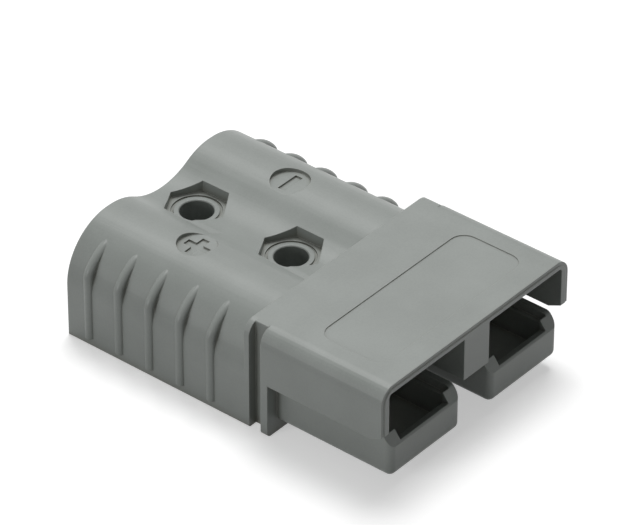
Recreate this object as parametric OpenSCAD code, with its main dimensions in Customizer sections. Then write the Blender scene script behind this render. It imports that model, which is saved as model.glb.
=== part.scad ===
// Genderless two-pole power connector: a moulded housing with a crimp contact and a leaf spring in each pole.
// X runs across the poles, Y from the mating face to the cable end, Z up from the resting face.
// The origin is the middle of the length and the width, on the resting face.
// Two of these parts mate when one is turned half a turn about X and slid in until its hood meets the flange.

/* [Overall] */
// Width over the hood and the flange
body_w = 50; // [47:0.5:60]
// Length from the mating face to the cable end
body_len = 70; // [66:0.5:90]
// Height from the resting face to the top of the hood
body_h = 21.3; // [20.4:0.1:26]

/* [Rear body] */
// Distance between the two poles
pole_pitch = 26; // [25:0.25:29]
// Step from the flange's side in to the body's side
side_step = 0.4; // [0.2:0.1:1]
// Height of the valley between the two barrels
valley_h = 17.75; // [17.2:0.05:18.6]
// Radius of a barrel's outer shoulder
shoulder_r = 10.9; // [10.2:0.1:11.2]
// Radius of the edges around the cable end
end_r = 0.4; // [0.2:0.1:1.4]
// Radius of the body's lower long edges
foot_r = 0.3; // [0.2:0.05:0.8]
// Number of grip ribs on each side
grip_count = 5; // [3:1:5]
// Pitch of the grip ribs
grip_pitch = 6.87; // [5:0.05:7]
// Distance from the cable end to the first grip rib
grip_end = 5.1; // [3.5:0.1:6]
// Radius of a grip rib's round crest
grip_r = 0.9; // [0.6:0.05:1]
// How far a grip rib stands out at the side
grip_out = 0.7; // [0.4:0.05:0.8]
// Height at which a grip rib starts
grip_foot = 1.3; // [0.5:0.1:4]
// Height up to which a grip rib's crest is straight
grip_bend_z = 13.95; // [13.4:0.05:14.4]
// Radius of the crest's bend out of the side
grip_bend_r = 3.4; // [2.4:0.1:4]
// Angle through which that bend turns
grip_lean = 37.5; // [34:0.5:40]
// Radius of the crest's arc over the shoulder
grip_arc_r = 10.4; // [9.6:0.1:11.6]

/* [Hood and flange] */
// Depth of the hood, from the mating face to the flange
hood_depth = 24.6; // [22:0.2:28]
// Thickness of the hood's top
hood_t = 1.45; // [1.2:0.05:1.8]
// Thickness of the hood's side walls
hood_wall = 1.85; // [1.5:0.05:2.2]
// Radius of the hood's long top edges
hood_r = 3; // [1.5:0.1:3.4]
// Radius of the hood's long inner edges
hood_inner_r = 0.75; // [0.3:0.05:1.2]
// Thickness of the flange behind the hood
flange_t = 1.5; // [1.2:0.1:2.5]
// Radius of the flange's lower corners
flange_r = 0.9; // [0.6:0.1:2.5]
// Length of the slanted corner at the hood's lower front edge
hood_nose_l = 2.6; // [1.5:0.1:3.5]
// Height of that slanted corner
hood_nose_h = 1.2; // [0.6:0.1:1.6]
// Width of the side groove behind the flange
groove_w = 2.8; // [2:0.1:4]
// Depth of the side groove
groove_d = 2.1; // [1:0.1:2.2]
// Thickness of the collar behind the groove
collar_t = 1.1; // [0.8:0.1:2]
// Setback of the hood's outer skin at the mating face
rim_back = 0.15; // [0.05:0.05:0.4]
// Thickness of that outer skin
rim_skin = 0.7; // [0.4:0.05:0.9]
// Width of the rib between the poles, under the hood
web_w = 6.65; // [5:0.05:7.5]
// Height of that rib's lower edge above the mating plane
web_lift = 0.8; // [0.4:0.05:1.5]

/* [Label recess and polarity marks] */
// Length of the label recess across the hood
label_w = 38.4; // [30:0.2:40]
// Width of the label recess along the hood
label_l = 13.7; // [10:0.1:16]
// Corner radius of the label recess
label_r = 2.8; // [1:0.1:4]
// Depth of the label recess
label_d = 0.18; // [0.1:0.02:0.5]
// Distance from the mating face to the label recess
label_front = 4.8; // [3:0.1:8]
// Diameter of a polarity mark's disc
mark_d = 7.2; // [6:0.1:8]
// Depth of the disc below the barrel's crest
mark_depth = 0.75; // [0.6:0.05:1]
// Depth of the sign below the disc
sign_depth = 0.35; // [0.2:0.05:0.6]
// Length of a sign's bar
sign_l = 4.9; // [3:0.1:5.2]
// Width of a sign's bar
sign_w = 1.5; // [0.8:0.05:1.8]
// Distance from the mating face to the marks
mark_y = 50.8; // [44:0.1:56]
// Distance between the two marks
mark_pitch = 24.6; // [22:0.1:28]

/* [Mounting] */
// Diameter of a mounting hole
mount_d = 6.1; // [5:0.1:6.6]
// Distance from the cable end to the first mounting hole
mount_end = 8.4; // [8:0.1:11]
// Distance between the two mounting holes
mount_pitch = 21.3; // [18:0.1:22]
// Width across the flats of the nut pockets
nut_af = 10.3; // [9:0.1:10.6]
// Height of the nut seat above the resting face
nut_seat = 16.6; // [15.5:0.1:17]
// Bevel of the hole's edge at the nut seat
mount_bevel = 0.2; // [0.1:0.05:0.5]
// Diameter of the ring groove around the hole
ring_d = 8.6; // [8.3:0.1:8.8]
// Width of the ring groove
ring_w = 0.5; // [0.3:0.05:0.6]
// Depth of the ring groove
ring_t = 0.3; // [0.15:0.05:0.4]
// Length of the sunken facet beside a nut pocket, on the plus side
facet_l = 13.5; // [11:0.1:14]
// Distance from the hole to the facet's rear end
facet_back = 4.2; // [3.2:0.1:5]
// Distance from the middle to the facet's inner edge
facet_x = 4.3; // [3.8:0.1:5]
// Width of the facet at its front end
facet_w = 2.5; // [1.8:0.1:2.6]
// Width of the facet where its pointed rear end starts
facet_tail = 1.6; // [0.8:0.1:1.8]
// Length of that pointed end
facet_tip = 2; // [1:0.1:3]
// Depth of the facet along its outer edge, at its front end
facet_d = 1.2; // [0.5:0.05:1.3]

/* [Mating boxes] */
// Clearance between a box and the other half's hood and rib
mate_gap = 0.65; // [0.4:0.05:0.8]
// Clearance of a box's top and of the hood's lower edge from the mating plane
mid_gap = 0.15; // [0.1:0.05:0.4]
// Thickness of a box's side walls
box_wall = 2.1; // [1.6:0.05:2.4]
// Thickness of the side walls above the ledge
box_edge = 1.2; // [0.8:0.05:1.5]
// Depth of the ledge below a box's upper edge
ledge_d = 1.6; // [1:0.1:2]
// Thickness of a box's floor
box_floor = 1.9; // [1.5:0.05:2.1]
// Height of the lip at a box's mouth, above the box's lower face
lip_h = 6.4; // [5.5:0.1:6.6]
// Thickness of that lip
lip_t = 1.7; // [1.4:0.1:2.6]
// Width of the mouth over the lip
mouth_w = 12.8; // [12:0.1:14]
// Fall of the lip's top towards the mouth
lip_edge = 0.35; // [0.1:0.05:0.6]
// Fall of the lip's top towards the inside
lip_fall = 0.5; // [0.2:0.05:0.8]
// Radius of a box's upright front edges and lower edges
box_r = 1.3; // [0.8:0.1:1.8]
// Length of the slanted corner at a side wall's front top
box_nose = 2.6; // [2:0.1:3.5]
// Radius where that corner meets the wall's upper edge
nose_r = 1.4; // [0.6:0.1:1.8]

/* [Contacts] */
// Width of a contact's tongue
tongue_w = 11; // [9:0.1:11.4]
// Thickness of a contact's tongue
tongue_t = 2.2; // [1.8:0.1:2.4]
// Distance from the mating face to a contact's tip
tip_y = 8.6; // [8:0.1:10]
// Bevel of the tip's upper edge
tip_bevel = 0.6; // [0.3:0.05:0.8]
// Depth of the latch hook below the tongue
hook_h = 1.1; // [0.7:0.1:1.3]
// Length of the latch hook
hook_l = 2.6; // [2:0.1:3.5]
// Outside diameter of the crimp barrel
barrel_od = 11.4; // [9:0.1:12]
// Bore of the crimp barrel
bore_d = 8.6; // [6:0.1:9]
// Length of the crimp barrel
barrel_len = 20; // [16:0.5:20.5]
// Diameter of the barrel's sight hole
sight_d = 2.4; // [1.6:0.1:3]
// Clearance around a contact in the housing
contact_gap = 0.4; // [0.3:0.05:0.6]
// Diameter of the cable entry
cable_d = 16; // [13.5:0.1:16.6]
// Depth of the cable entry
cable_depth = 14; // [10:0.5:15]
// Distance from the flange's front to the seat of the barrel
seat_back = 8; // [7:0.25:9]
// Thickness of the wall at the bottom of the barrel
barrel_end = 2; // [1.5:0.1:3]

/* [Springs] */
// Width of a leaf spring
spring_w = 8; // [6:0.1:8.6]
// Thickness of a leaf spring
spring_t = 0.6; // [0.4:0.05:0.8]
// Length of the spring's tail inside its slot
spring_tail = 5; // [4:0.25:6]
// Length of the flat that bears on the tongue
spring_pad = 1.2; // [0.8:0.1:1.6]
// Clearance between the spring and the hook
spring_back = 0.25; // [0.15:0.05:0.5]
// Distance from the spring's bend to the flange's front
spring_bend = 1; // [0.6:0.1:2]
// Clearance around the tail in its slot
spring_gap = 0.1; // [0.05:0.05:0.2]

/* [View] */
// Which piece to show

/* [Hidden] */
eps = 0.02;
// How far a cutting shape runs past a face
over = 1;
pole_x = pole_pitch / 2;
body_half = body_w / 2 - side_step;
lobe_r = body_half - pole_x;
lobe_z = body_h - lobe_r;
// The valley's arc touches both barrels, so its radius follows from its height
valley_rise = valley_h - lobe_z;
valley_r = (pole_x * pole_x + valley_rise * valley_rise - lobe_r * lobe_r) / (2 * (lobe_r - valley_rise));
touch_x = pole_x * valley_r / (valley_r + lobe_r);
touch_z = lobe_z + (valley_rise + valley_r) * lobe_r / (valley_r + lobe_r);
mid_z = body_h / 2;
flange_y = hood_depth;
groove_y = flange_y + flange_t;
collar_y = groove_y + groove_w;
plate_end = collar_y + collar_t;
hood_side_z = mid_z + mid_gap;
hood_in = body_w / 2 - hood_wall;
hood_top_in = body_h - hood_t;
web_z = mid_z + web_lift;
box_out = hood_in - mate_gap;
box_in = web_w / 2 + mate_gap;
box_z = hood_t + mate_gap;
box_top = mid_z - mid_gap;
box_h = box_top - box_z;
channel_z = box_z + box_floor;
channel_x0 = box_in + box_wall;
channel_x1 = box_out - box_wall;
mouth_x = (box_in + box_out) / 2;
rear_hole_y = body_len - mount_end;
front_hole_y = rear_hole_y - mount_pitch;
tongue_top = mid_z;
tongue_z = tongue_top - tongue_t;
hook_z = tongue_z - hook_h;
hook_y = tip_y + tongue_t + hook_h - tip_bevel;
latch_y = hook_y + hook_l;
seat_y = flange_y + seat_back;
barrel_y1 = seat_y + contact_gap + barrel_end + barrel_len;
barrel_bore = barrel_od + 2 * contact_gap;
passage_w = tongue_w + 2 * contact_gap;
passage_z0 = hook_z - contact_gap;
passage_z1 = tongue_top + 2 * contact_gap;
cable_y = body_len - cable_depth;
tail_z = channel_z;
slot_h = spring_t + 2 * spring_gap;
ledge_z = box_top - ledge_d;
ledge_x0 = box_in + box_edge;
ledge_x1 = box_out - box_edge;
grip_x = body_half + grip_out - grip_r;
// The middle line of a grip rib's crest: a bend out of the side, then an arc that runs out on the shoulder
bend_path = grip_bend_r - grip_r;
arc_path = grip_arc_r - grip_r;
grip_bend_x = grip_x - bend_path;
grip_arc_x = grip_bend_x - (arc_path - bend_path) * cos(grip_lean);
grip_arc_z = grip_bend_z - (arc_path - bend_path) * sin(grip_lean);

// The pieces are drawn from the mating face at y = 0, and this sets them on the part's own origin
module placed(x = 0) { translate([x, -body_len / 2, 0]) children(); }

// Extrudes a shape drawn in X and Z from y0 to y1
module along_y(y0, y1) {
    translate([0, y1, 0]) rotate([90, 0, 0]) linear_extrude(y1 - y0) children();
}

// Extrudes a shape drawn in Y and Z from x0 to x1
module along_x(x0, x1) {
    translate([x0, 0, 0]) rotate([90, 0, 90]) linear_extrude(x1 - x0) children();
}

// Points of an arc
function arc(cx, cy, r, a0, a1, n = 6) =
    [for (i = [0:n]) let (a = a0 + (a1 - a0) * i / n) [cx + r * cos(a), cy + r * sin(a)]];

// Height of the valley's surface at a distance from the middle
function valley_z(x) = valley_h + valley_r - sqrt(valley_r * valley_r - x * x);

// Outline with rounded upper and lower corners
module rounded_outline(half, z0, z1, r_top, r_foot) {
    polygon(concat(
        arc(half - r_top, z1 - r_top, r_top, 0, 90, 8),
        arc(-half + r_top, z1 - r_top, r_top, 90, 180, 8),
        arc(-half + r_foot, z0 + r_foot, r_foot, 180, 270),
        arc(half - r_foot, z0 + r_foot, r_foot, 270, 360)));
}

// One barrel's end profile, turned about its axis: straight, with a rounded rear edge
module barrel_profile(r) {
    polygon(concat([[0, 0], [r, 0]], arc(r - end_r, body_len - plate_end - end_r, end_r, 0, 90),
        [[0, body_len - plate_end]]));
}

// A barrel: the main circle and the fuller shoulder on its outer side
module barrel() {
    for (r = [lobe_r, shoulder_r])
        translate([pole_x + lobe_r - r, plate_end, lobe_z + lobe_r - r]) rotate([-90, 0, 0])
            rotate_extrude($fn = 96) barrel_profile(r);
}

// The valley between the barrels: a round trough that flares at the rear edge
module valley() {
    l = body_len - plate_end;
    translate([0, plate_end, valley_h + valley_r]) rotate([-90, 0, 0])
        rotate_extrude($fn = 96)
            polygon(concat([[0, -over], [valley_r, -over]], arc(valley_r + end_r, l - end_r, end_r, 180, 90),
                [[valley_r + end_r, l + over], [0, l + over]]));
}

// Rear body: two barrels on a flat foot, with the valley between them
module rear_body() {
    difference() {
        union() {
            for (s = [0, 1]) mirror([s, 0, 0]) barrel();
            // Foot with rounded edges at the rear
            intersection() {
                along_y(plate_end - eps, body_len) polygon(concat(
                    arc(foot_r - body_half, foot_r, foot_r, 180, 270),
                    arc(body_half - foot_r, foot_r, foot_r, 270, 360),
                    [[body_half, lobe_z], [touch_x, touch_z], [-touch_x, touch_z], [-body_half, lobe_z]]));
                along_x(-body_w, body_w) polygon(concat([[0, body_h], [0, 0]],
                    arc(body_len - end_r, end_r, end_r, 270, 360), [[body_len, body_h]]));
                linear_extrude(body_h) polygon(concat([[-body_w, 0], [body_w, 0]],
                    [[body_w, body_len - end_r - over]], [[body_half, body_len - end_r - over]],
                    arc(body_half - end_r, body_len - end_r, end_r, 0, 90),
                    arc(end_r - body_half, body_len - end_r, end_r, 90, 180),
                    [[-body_half, body_len - end_r - over]], [[-body_w, body_len - end_r - over]]));
            }
        }
        valley();
        translate([-body_w, 0, -body_h]) cube([2 * body_w, 2 * body_len, body_h]);
    }
}

// Front section: core behind the hood, flange, groove and collar in one outline
module front_body() {
    along_y(flange_y, groove_y) rounded_outline(body_w / 2, 0, body_h, hood_r, flange_r);
    along_y(groove_y - eps, collar_y + eps) {
        rounded_outline(body_w / 2 - groove_d, 0, body_h, foot_r / 2, foot_r / 2);
        // The right-hand groove stops below the rounded corner
        intersection() {
            rounded_outline(body_half, 0, body_h, hood_r - side_step, foot_r);
            translate([0, body_h - hood_r]) square([body_w, hood_r + over]);
        }
    }
    along_y(collar_y, plate_end) rounded_outline(body_half, 0, body_h, hood_r - side_step, foot_r);
}

module hood() {
    difference() {
        along_y(0, flange_y + eps) rounded_outline(body_w / 2, 0, body_h, hood_r, flange_r);
        along_y(-over, flange_y)
            rounded_outline(hood_in, -body_h, hood_top_in, hood_inner_r, foot_r);
        translate([-body_w, -over, -over]) cube([2 * body_w, flange_y + over, hood_side_z + over]);
        along_x(-body_w, body_w) polygon([[-over, 0], [hood_nose_l, hood_side_z],
            [0, hood_side_z + hood_nose_h], [-over, hood_side_z + hood_nose_h]]);
        // Set-back outer skin of the rim
        difference() {
            translate([-body_w, -over, -over]) cube([2 * body_w, rim_back + over, 2 * body_h]);
            along_y(-2 * over, rim_back + over)
                rounded_outline(body_w / 2 - rim_skin, -body_h, body_h - rim_skin, hood_r - rim_skin, foot_r);
        }
    }
    // Rib between the poles
    translate([-web_w / 2, 0, web_z]) cube([web_w, flange_y + eps, hood_top_in + eps - web_z]);
}

// A solid with rounded upright front edges, lower edges and lower corners
module box_body() {
    x0 = box_in + box_r;
    x1 = box_out - box_r;
    z0 = box_z + box_r;
    translate([x0, box_r, box_z]) cube([x1 - x0, flange_y + eps - box_r, box_h]);
    translate([box_in, box_r, z0]) cube([box_out - box_in, flange_y + eps - box_r, box_top - z0]);
    translate([x0, 0, z0]) cube([x1 - x0, box_r + eps, box_top - z0]);
    for (x = [x0, x1]) {
        translate([x, box_r, z0]) cylinder(r = box_r, h = box_top - z0, $fn = 40);
        translate([x, flange_y + eps, z0]) rotate([90, 0, 0])
            cylinder(r = box_r, h = flange_y + eps - box_r, $fn = 40);
        translate([x, box_r, z0]) sphere(box_r, $fn = 40);
    }
    translate([x0, box_r, z0]) rotate([0, 90, 0]) cylinder(r = box_r, h = x1 - x0, $fn = 40);
}

// Outside of one box, at the +X side, with the slanted corner of its side walls
module box_block() {
    intersection() {
        box_body();
        along_x(0, body_w)
            polygon(concat([[0, 0], [flange_y + over, 0], [flange_y + over, box_top]],
                arc(box_nose, box_top - nose_r, nose_r, 90, 135),
                [[lip_edge, box_z + lip_h], [0, box_z + lip_h - lip_edge]]));
    }
}

// Inside of one box, its passage, barrel bore and cable entry, at the +X side
module pole_cavity() {
    // Channel behind the lip
    translate([channel_x0, lip_t, channel_z])
        cube([channel_x1 - channel_x0, flange_y - lip_t, mid_z + mid_gap - channel_z]);
    // Wider above the ledge
    translate([ledge_x0, lip_t, ledge_z])
        cube([ledge_x1 - ledge_x0, flange_y - lip_t, mid_z + mid_gap - ledge_z]);
    // Mouth over the lip
    along_x(mouth_x - mouth_w / 2, mouth_x + mouth_w / 2)
        polygon([[-over, box_z + lip_h], [lip_edge, box_z + lip_h], [lip_t + eps, box_z + lip_h - lip_fall],
            [lip_t + eps, mid_z + mid_gap], [-over, mid_z + mid_gap]]);
    // Passage for the tongue
    translate([pole_x - passage_w / 2, flange_y - eps, passage_z0])
        cube([passage_w, seat_back + 2 * eps, passage_z1 - passage_z0]);
    // Slot for the spring's tail
    translate([pole_x - spring_w / 2 - spring_gap, flange_y - eps, tail_z - spring_gap])
        cube([spring_w + 2 * spring_gap, spring_tail + spring_gap + eps, slot_h]);
    // Barrel bore and cable entry
    translate([pole_x, cable_y + eps, lobe_z]) rotate([90, 0, 0])
        cylinder(d = barrel_bore, h = cable_y + eps - seat_y, $fn = 64);
    translate([pole_x, body_len + over, lobe_z]) rotate([90, 0, 0])
        cylinder(d = cable_d, h = cable_depth + over, $fn = 72);
}

// Grip rib on the +X side: a round crest on a thin wall, straight up the side and bent over the shoulder
module grip_rib() {
    translate([grip_x, 0, grip_foot]) cylinder(r1 = grip_r / 2, r2 = grip_r, h = grip_r / 2, $fn = 24);
    translate([grip_x, 0, grip_foot + grip_r / 2])
        cylinder(r = grip_r, h = grip_bend_z - grip_foot - grip_r / 2, $fn = 24);
    translate([grip_bend_x, 0, grip_bend_z]) rotate([90, 0, 0])
        rotate_extrude(angle = grip_lean, $fn = 96) translate([bend_path, 0]) circle(grip_r, $fn = 24);
    translate([grip_arc_x, 0, grip_arc_z]) rotate([90, 0, 0]) rotate(grip_lean)
        rotate_extrude(angle = 90 - grip_lean, $fn = 96) translate([arc_path, 0]) circle(grip_r, $fn = 24);
    along_y(-grip_r, grip_r) polygon(concat([[grip_arc_x, grip_arc_z], [grip_x, grip_arc_z]],
        arc(grip_bend_x, grip_bend_z, bend_path, 0, grip_lean),
        arc(grip_arc_x, grip_arc_z, arc_path, grip_lean, 90)));
}

module mounting_hole(y) {
    translate([0, y, -over]) cylinder(d = mount_d, h = body_h, $fn = 48);
    translate([0, y, nut_seat]) rotate(30) cylinder(d = nut_af / cos(30), h = body_h, $fn = 6);
    translate([0, y, nut_seat - mount_bevel])
        cylinder(d1 = mount_d, d2 = mount_d + 2 * mount_bevel, h = mount_bevel + eps, $fn = 48);
    translate([0, y, nut_seat - ring_t]) difference() {
        cylinder(d = ring_d + ring_w, h = ring_t + eps, $fn = 64);
        translate([0, 0, -over]) cylinder(d = ring_d - ring_w, h = ring_t + 2 * over, $fn = 64);
    }
    pocket_facet(y);
}

// Sunken facet beside the pocket, level with the valley at its inner edge, pointed behind, widening forwards
module pocket_facet(y) {
    y1 = y + facet_back;
    x1 = facet_x + facet_w;
    z0 = valley_z(facet_x);
    intersection() {
        translate([0, 0, nut_seat]) linear_extrude(body_h) polygon([[-facet_x, y1],
            [-facet_x - facet_tail, y1 - facet_tip], [-x1, y1 - facet_l], [-facet_x, y1 - facet_l]]);
        translate([-facet_x, 0, z0]) rotate([0, atan2(valley_z(x1) - facet_d - z0, facet_w), 0])
            translate([-body_h, 0, 0]) cube([2 * body_h, body_len, body_h]);
    }
}

// Disc with a sunken bar, or a cross of two bars
module polarity_mark(plus) {
    translate([0, mark_y, body_h - mark_depth]) cylinder(d = mark_d, h = body_h, $fn = 64);
    translate([0, mark_y, body_h - mark_depth - sign_depth]) {
        translate([-sign_l / 2, -sign_w / 2, 0]) cube([sign_l, sign_w, body_h]);
        if (plus) translate([-sign_w / 2, -sign_l / 2, 0]) cube([sign_w, sign_l, body_h]);
    }
}

module label_recess() {
    x = label_w / 2 - label_r;
    y0 = label_front + label_r;
    y1 = label_front + label_l - label_r;
    translate([0, 0, body_h - label_d]) linear_extrude(over)
        polygon(concat(arc(x, y1, label_r, 0, 90), arc(-x, y1, label_r, 90, 180),
            arc(-x, y0, label_r, 180, 270), arc(x, y0, label_r, 270, 360)));
}

// Grip ribs of the +X side
module grip() {
    for (i = [0:grip_count - 1])
        translate([0, body_len - grip_end - i * grip_pitch, 0]) grip_rib();
}

// One moulding, open at the front for the other half and at the rear for the cables
module housing() {
    placed() color([0.52, 0.54, 0.52]) difference() {
        union() {
            rear_body();
            front_body();
            hood();
            for (s = [0, 1]) mirror([s, 0, 0]) {
                box_block();
                grip();
            }
        }
        for (s = [0, 1]) mirror([s, 0, 0]) pole_cavity();
        mounting_hole(rear_hole_y);
        mounting_hole(front_hole_y);
        translate([-mark_pitch / 2, 0, 0]) polarity_mark(true);
        translate([mark_pitch / 2, 0, 0]) polarity_mark(false);
        label_recess();
    }
}

// Crimp contact: tongue with a ramped latch hook, and a barrel closed at its front
module contact() {
    color([0.80, 0.80, 0.78]) difference() {
        union() {
            along_x(-tongue_w / 2, tongue_w / 2)
                polygon([[tip_y, tongue_top - tip_bevel], [tip_y + tip_bevel, tongue_top],
                    [seat_y + contact_gap + eps, tongue_top], [seat_y + contact_gap + eps, tongue_z],
                    [latch_y, tongue_z], [latch_y, hook_z], [hook_y, hook_z]]);
            translate([0, barrel_y1, lobe_z]) rotate([90, 0, 0])
                cylinder(d = barrel_od, h = barrel_len + barrel_end, $fn = 64);
        }
        translate([0, barrel_y1 + over, lobe_z]) rotate([90, 0, 0])
            cylinder(d = bore_d, h = barrel_len + over, $fn = 64);
        translate([0, barrel_y1 - barrel_len + sight_d, lobe_z])
            cylinder(d = sight_d, h = barrel_od, $fn = 24);
    }
}

// Leaf spring: flat tail in its slot, ramp up to the tongue behind the hook
module leaf_spring() {
    y0 = latch_y + spring_back;
    y1 = flange_y - spring_bend;
    y2 = flange_y + spring_tail;
    top = tongue_z;
    // The ramp keeps the leaf's thickness, so its lower bends lie this much further forwards
    shift = spring_t * tan(atan2(top - tail_z - spring_t, y1 - y0 - spring_pad) / 2);
    color([0.72, 0.73, 0.75]) along_x(-spring_w / 2, spring_w / 2)
        polygon([[y0, top], [y0 + spring_pad, top], [y1, tail_z + spring_t], [y2, tail_z + spring_t],
            [y2, tail_z], [y1 - shift, tail_z], [y0 + spring_pad - shift, top - spring_t],
            [y0, top - spring_t]]);
}

module contact_left() { placed(-pole_x) contact(); }
module contact_right() { placed(pole_x) contact(); }
module spring_left() { placed(-pole_x) leaf_spring(); }
module spring_right() { placed(pole_x) leaf_spring(); }

housing();
contact_left();
contact_right();
spring_left();
spring_right();
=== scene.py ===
"""Looks of the genderless power connector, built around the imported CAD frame. Everything is in metres."""

import bpy
from mathutils import Matrix, Vector


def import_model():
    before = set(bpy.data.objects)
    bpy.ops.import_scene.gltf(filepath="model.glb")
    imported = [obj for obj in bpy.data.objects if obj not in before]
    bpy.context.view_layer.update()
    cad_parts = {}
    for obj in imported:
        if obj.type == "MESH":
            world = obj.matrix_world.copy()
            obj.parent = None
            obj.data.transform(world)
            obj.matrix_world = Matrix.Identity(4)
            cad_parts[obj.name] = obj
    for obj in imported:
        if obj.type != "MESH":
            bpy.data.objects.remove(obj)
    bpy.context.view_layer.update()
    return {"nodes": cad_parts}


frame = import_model()

MM = 0.001

# The main view: the camera's place, the directions of its axes, its lens and sensor in mm, and its shift
CAMERA_PLACE = (-0.531034, -0.440538, 0.513473)
CAMERA_RIGHT = (0.6398, -0.7685, 0.0007)
CAMERA_UP = (0.4481, 0.3738, 0.8121)
CAMERA_BACK = (-0.6243, -0.5193, 0.5836)
CAMERA_LENS = 288
CAMERA_SENSOR = 36
CAMERA_SHIFT = (0.0043, 0.0002)

# Softboxes: place, edge length in metres and power in watts
OVERHEAD = ((0.45, 0.35, 1.4), 0.8, 17.5)
LEFT = ((-1.3, 0.35, 0.42), 0.4, 4.2)
LIGHT_TARGET = (0, 0, 0.01)

# The surroundings' strength as a light and where they are seen
SKY_LIGHT = 0.12
SKY_SEEN = 1.0
# The floor's added glow where it is seen, and its grey for all other light
FLOOR_GLOW = 0.45
FLOOR_BOUNCE = 0.42
# Half of the floor's width, and its gap below the resting face
FLOOR_HALF = 3.0
FLOOR_GAP = 0.02 * MM

# Colours, linear
WHITE = (1, 1, 1)
BLACK = (0, 0, 0)
GREY_DARK = (0.272, 0.293, 0.277)
GREY_LIGHT = (0.300, 0.322, 0.306)
# Warm tint of the shade painted into recesses
RECESS_SHADE_TINT = (0.50, 0.44, 0.34)
# Paler colour along sharp edges: partly edge wear, partly a painted edge highlight
EDGE_WEAR_AND_HIGHLIGHT = (0.46, 0.48, 0.45)
SILVER = (0.80, 0.78, 0.73)
TARNISH = (0.62, 0.57, 0.48)
STEEL = (0.60, 0.60, 0.60)
STEEL_BLUE = (0.50, 0.52, 0.55)


# ---------------------------------------------------------------- materials

def new_material(name):
    """A node material, with its nodes, its links and its Principled shader."""
    material = bpy.data.materials.new(name)
    material.use_nodes = True
    nodes = material.node_tree.nodes
    shader = nodes["Principled BSDF"]
    return material, nodes, material.node_tree.links, shader


def noise(nodes, links, scale, detail=4.0, roughness=0.55, stretch=None):
    """A noise texture in the object's own metres, stretched along an axis if asked."""
    where = nodes.new("ShaderNodeTexCoord")
    texture = nodes.new("ShaderNodeTexNoise")
    texture.inputs["Scale"].default_value = scale
    texture.inputs["Detail"].default_value = detail
    texture.inputs["Roughness"].default_value = roughness
    if stretch:
        mapping = nodes.new("ShaderNodeMapping")
        mapping.inputs["Scale"].default_value = stretch
        links.new(where.outputs["Object"], mapping.inputs["Vector"])
        links.new(mapping.outputs["Vector"], texture.inputs["Vector"])
    else:
        links.new(where.outputs["Object"], texture.inputs["Vector"])
    return texture.outputs["Fac"]


def ramp(nodes, links, value, low, high, first, last):
    """Maps value to a colour: the first one up to low, the last one from high on."""
    node = nodes.new("ShaderNodeValToRGB")
    node.color_ramp.elements[0].position = low
    node.color_ramp.elements[0].color = (*first, 1)
    node.color_ramp.elements[1].position = high
    node.color_ramp.elements[1].color = (*last, 1)
    links.new(value, node.inputs["Fac"])
    return node.outputs["Color"]


def mix(nodes, links, factor, a, b, how="MIX"):
    """Mixes two colours by a factor that is a number or a socket."""
    node = nodes.new("ShaderNodeMix")
    node.data_type = "RGBA"
    node.blend_type = how
    for value, socket in ((factor, node.inputs["Factor"]), (a, node.inputs["A"]), (b, node.inputs["B"])):
        if isinstance(value, bpy.types.NodeSocket):
            links.new(value, socket)
        elif isinstance(value, (tuple, list)):
            socket.default_value = (*value, 1)
        else:
            socket.default_value = value
    return node.outputs["Result"]


def bump(nodes, links, height, distance, strength=1.0, normal=None):
    """A bump of at most that distance in metres, on top of another normal."""
    node = nodes.new("ShaderNodeBump")
    node.inputs["Strength"].default_value = strength
    node.inputs["Distance"].default_value = distance
    links.new(height, node.inputs["Height"])
    if normal is not None:
        links.new(normal, node.inputs["Normal"])
    return node.outputs["Normal"]


def soft_edges(nodes, radius):
    """The small radius that a moulded or stamped edge has."""
    node = nodes.new("ShaderNodeBevel")
    node.samples = 8
    node.inputs["Radius"].default_value = radius
    return node.outputs["Normal"]


def edge_mask(nodes, links, bevelled):
    """1 along sharp edges, 0 on flat faces: where the softened normal leaves the true one."""
    geometry = nodes.new("ShaderNodeNewGeometry")
    dot = nodes.new("ShaderNodeVectorMath")
    dot.operation = "DOT_PRODUCT"
    links.new(bevelled, dot.inputs[0])
    links.new(geometry.outputs["Normal"], dot.inputs[1])
    return ramp(nodes, links, dot.outputs["Value"], 0.86, 0.995, WHITE, BLACK)


def recess_mask(nodes, links, distance):
    """Towards 0 in narrow recesses, 1 on open faces."""
    node = nodes.new("ShaderNodeAmbientOcclusion")
    node.samples = 8
    node.inputs["Distance"].default_value = distance
    return node.outputs["AO"]


def streak_height(nodes, links):
    """Fine lines along the rear body, where it slid out of its mould, fading out towards the hood."""
    lines = noise(nodes, links, 420, 3, 0.5, (1, 0.03, 1))
    where = nodes.new("ShaderNodeTexCoord")
    split = nodes.new("ShaderNodeSeparateXYZ")
    links.new(where.outputs["Object"], split.inputs["Vector"])
    fade = nodes.new("ShaderNodeMapRange")
    fade.inputs["From Min"].default_value = -9 * MM
    fade.inputs["From Max"].default_value = -4 * MM
    links.new(split.outputs["Y"], fade.inputs["Value"])
    times = nodes.new("ShaderNodeMath")
    times.operation = "MULTIPLY"
    links.new(lines, times.inputs[0])
    links.new(fade.outputs["Result"], times.inputs[1])
    return times.outputs["Value"]


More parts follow.
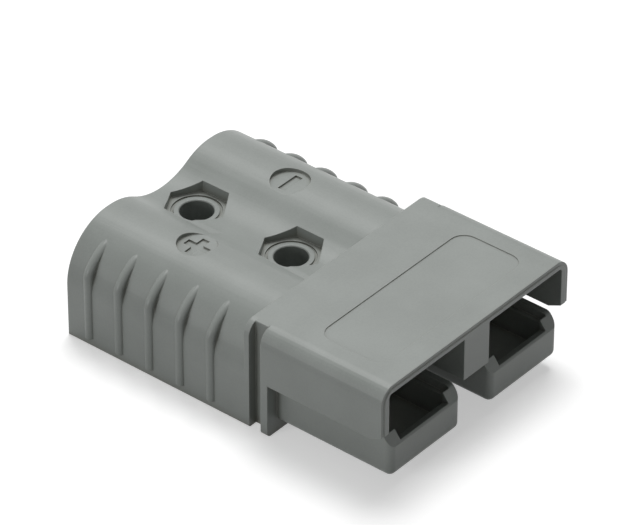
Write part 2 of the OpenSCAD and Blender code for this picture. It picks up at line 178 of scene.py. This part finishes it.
def moulded_plastic():
    """Satin grey nylon: clouding, speckle, mould lines, a fine grain, edges paler from wear and a painted
    edge highlight, and painted warm shade in recesses.
    """
    material, nodes, links, shader = new_material("moulded_grey")
    clouds = noise(nodes, links, 90, 3)
    streaks = noise(nodes, links, 60, 4, 0.6, (1, 0.18, 1))
    speckle = noise(nodes, links, 2600, 2, 0.6)
    base = ramp(nodes, links, clouds, 0.35, 0.68, GREY_DARK, GREY_LIGHT)
    streak_tint = ramp(nodes, links, streaks, 0.35, 0.7, (0.88, 0.88, 0.87), WHITE)
    base = mix(nodes, links, 0.35, base, streak_tint, "MULTIPLY")
    speckle_tint = ramp(nodes, links, speckle, 0.30, 0.72, (0.80, 0.80, 0.80), WHITE)
    base = mix(nodes, links, 0.30, base, speckle_tint, "MULTIPLY")
    # Painted shade: narrow recesses are darkened and warmed in the base colour, standing in for the warm
    # shade that falls there
    recess_shade = ramp(nodes, links, recess_mask(nodes, links, 2.2 * MM), 0.25, 0.85, RECESS_SHADE_TINT, WHITE)
    base = mix(nodes, links, 0.75, base, recess_shade, "MULTIPLY")
    bevelled = soft_edges(nodes, 0.22 * MM)
    # Edges paler in the base colour: partly wear, partly a painted highlight along the sharp edges
    edges = mix(nodes, links, 1.0, edge_mask(nodes, links, bevelled), (0.45, 0.45, 0.45), "MULTIPLY")
    base = mix(nodes, links, edges, base, EDGE_WEAR_AND_HIGHLIGHT)
    links.new(base, shader.inputs["Base Color"])
    rough = ramp(nodes, links, streaks, 0.3, 0.75, (0.36,) * 3, (0.50,) * 3)
    links.new(rough, shader.inputs["Roughness"])
    normal = bump(nodes, links, noise(nodes, links, 4200, 2), 0.004 * MM, 0.8, bevelled)
    normal = bump(nodes, links, clouds, 0.08 * MM, 0.5, normal)
    normal = bump(nodes, links, streak_height(nodes, links), 0.16 * MM, 0.6, normal)
    links.new(normal, shader.inputs["Normal"])
    return material


def silver_plate():
    """Silver-plated copper alloy: fine drawing lines and faint tarnish."""
    material, nodes, links, shader = new_material("silver_plate")
    tarnish = noise(nodes, links, 220, 4)
    lines = noise(nodes, links, 900, 3, 0.6, (1, 0.06, 1))
    links.new(ramp(nodes, links, tarnish, 0.35, 0.75, SILVER, TARNISH), shader.inputs["Base Color"])
    links.new(ramp(nodes, links, lines, 0.3, 0.7, (0.24,) * 3, (0.38,) * 3), shader.inputs["Roughness"])
    shader.inputs["Metallic"].default_value = 1.0
    normal = bump(nodes, links, lines, 0.01 * MM, 0.6, soft_edges(nodes, 0.15 * MM))
    links.new(normal, shader.inputs["Normal"])
    return material


def spring_steel():
    """Rolled stainless strip: grain along the strip and a slight blueing."""
    material, nodes, links, shader = new_material("spring_steel")
    grain = noise(nodes, links, 1400, 3, 0.6, (1, 0.04, 1))
    blue = noise(nodes, links, 160, 3)
    links.new(ramp(nodes, links, blue, 0.3, 0.75, STEEL, STEEL_BLUE), shader.inputs["Base Color"])
    links.new(ramp(nodes, links, grain, 0.3, 0.7, (0.28,) * 3, (0.42,) * 3), shader.inputs["Roughness"])
    shader.inputs["Metallic"].default_value = 1.0
    normal = bump(nodes, links, grain, 0.006 * MM, 0.6, soft_edges(nodes, 0.08 * MM))
    links.new(normal, shader.inputs["Normal"])
    return material


def paint(node, material):
    """Gives a CAD node its finished material."""
    data = frame["nodes"][node].data
    data.materials.clear()
    data.materials.append(material)


# ---------------------------------------------------------------- floor, light and camera

def seen_directly(nodes, links, rays):
    """1 for the rays that show a surface: to the camera, in a mirror or through glass."""
    total = rays.outputs["Is Camera Ray"]
    for kind in ("Is Glossy Ray", "Is Transmission Ray"):
        node = nodes.new("ShaderNodeMath")
        node.operation = "MAXIMUM"
        links.new(total, node.inputs[0])
        links.new(rays.outputs[kind], node.inputs[1])
        total = node.outputs["Value"]
    return total


def floor_material():
    """Pale floor: white where it is lit, to the eye, and still darker in the object's shadow."""
    material, nodes, links, shader = new_material("floor_white")
    shader.inputs["Roughness"].default_value = 0.9
    shader.inputs["Specular IOR Level"].default_value = 0.0
    mottle = noise(nodes, links, 9, 3)
    links.new(ramp(nodes, links, mottle, 0.3, 0.7, (0.79, 0.79, 0.79), (0.81, 0.81, 0.81)),
              shader.inputs["Base Color"])
    rays = nodes.new("ShaderNodeLightPath")
    glow = nodes.new("ShaderNodeEmission")
    glow.inputs["Strength"].default_value = FLOOR_GLOW
    add = nodes.new("ShaderNodeAddShader")
    choose = nodes.new("ShaderNodeMixShader")
    bounce = nodes.new("ShaderNodeBsdfDiffuse")
    bounce.inputs["Color"].default_value = (FLOOR_BOUNCE, FLOOR_BOUNCE, FLOOR_BOUNCE, 1)
    out = nodes["Material Output"]
    links.new(shader.outputs["BSDF"], add.inputs[0])
    links.new(glow.outputs["Emission"], add.inputs[1])
    links.new(seen_directly(nodes, links, rays), choose.inputs["Fac"])
    links.new(bounce.outputs["BSDF"], choose.inputs[1])
    links.new(add.outputs["Shader"], choose.inputs[2])
    links.new(choose.outputs["Shader"], out.inputs["Surface"])
    return material


def floor():
    """A plain floor under the resting face."""
    half = FLOOR_HALF
    data = bpy.data.meshes.new("floor")
    corners = [(-half, -half, 0), (half, -half, 0), (half, half, 0), (-half, half, 0)]
    data.from_pydata(corners, [], [(0, 1, 2, 3)])
    data.materials.append(floor_material())
    obj = bpy.data.objects.new("floor", data)
    obj.location.z = -FLOOR_GAP
    bpy.context.collection.objects.link(obj)


def world():
    """Pale studio surroundings: white where they are seen, softer as a light."""
    surroundings = bpy.data.worlds.new("studio")
    surroundings.use_nodes = True
    nodes = surroundings.node_tree.nodes
    links = surroundings.node_tree.links
    soft = nodes["Background"]
    soft.inputs["Color"].default_value = (*WHITE, 1)
    soft.inputs["Strength"].default_value = SKY_LIGHT
    seen = nodes.new("ShaderNodeBackground")
    seen.inputs["Color"].default_value = (*WHITE, 1)
    seen.inputs["Strength"].default_value = SKY_SEEN
    rays = nodes.new("ShaderNodeLightPath")
    choose = nodes.new("ShaderNodeMixShader")
    links.new(seen_directly(nodes, links, rays), choose.inputs["Fac"])
    links.new(soft.outputs["Background"], choose.inputs[1])
    links.new(seen.outputs["Background"], choose.inputs[2])
    links.new(choose.outputs["Shader"], nodes["World Output"].inputs["Surface"])
    bpy.context.scene.world = surroundings


def area_light(name, place, size, power):
    """A square softbox at place, aimed at the object."""
    data = bpy.data.lights.new(name, "AREA")
    data.shape = "SQUARE"
    data.size = size
    data.energy = power
    obj = bpy.data.objects.new(name, data)
    obj.location = place
    obj.rotation_euler = (Vector(place) - Vector(LIGHT_TARGET)).to_track_quat("Z", "Y").to_euler()
    bpy.context.collection.objects.link(obj)


def camera():
    """The main view: the mating face from its left and from above."""
    turn = Matrix((CAMERA_RIGHT, CAMERA_UP, CAMERA_BACK)).transposed().to_4x4()
    data = bpy.data.cameras.new("camera")
    data.sensor_width = CAMERA_SENSOR
    data.lens = CAMERA_LENS
    data.shift_x, data.shift_y = CAMERA_SHIFT
    obj = bpy.data.objects.new("camera", data)
    obj.matrix_world = Matrix.Translation(CAMERA_PLACE) @ turn
    bpy.context.collection.objects.link(obj)
    bpy.context.scene.camera = obj


# ---------------------------------------------------------------- the scene

plastic = moulded_plastic()
silver = silver_plate()
steel = spring_steel()
paint("housing", plastic)
for side in ("left", "right"):
    paint("contact_" + side, silver)
    paint("spring_" + side, steel)

floor()
world()
area_light("overhead", *OVERHEAD)
area_light("left", *LEFT)
camera()
bpy.context.scene.view_settings.view_transform = "Standard"
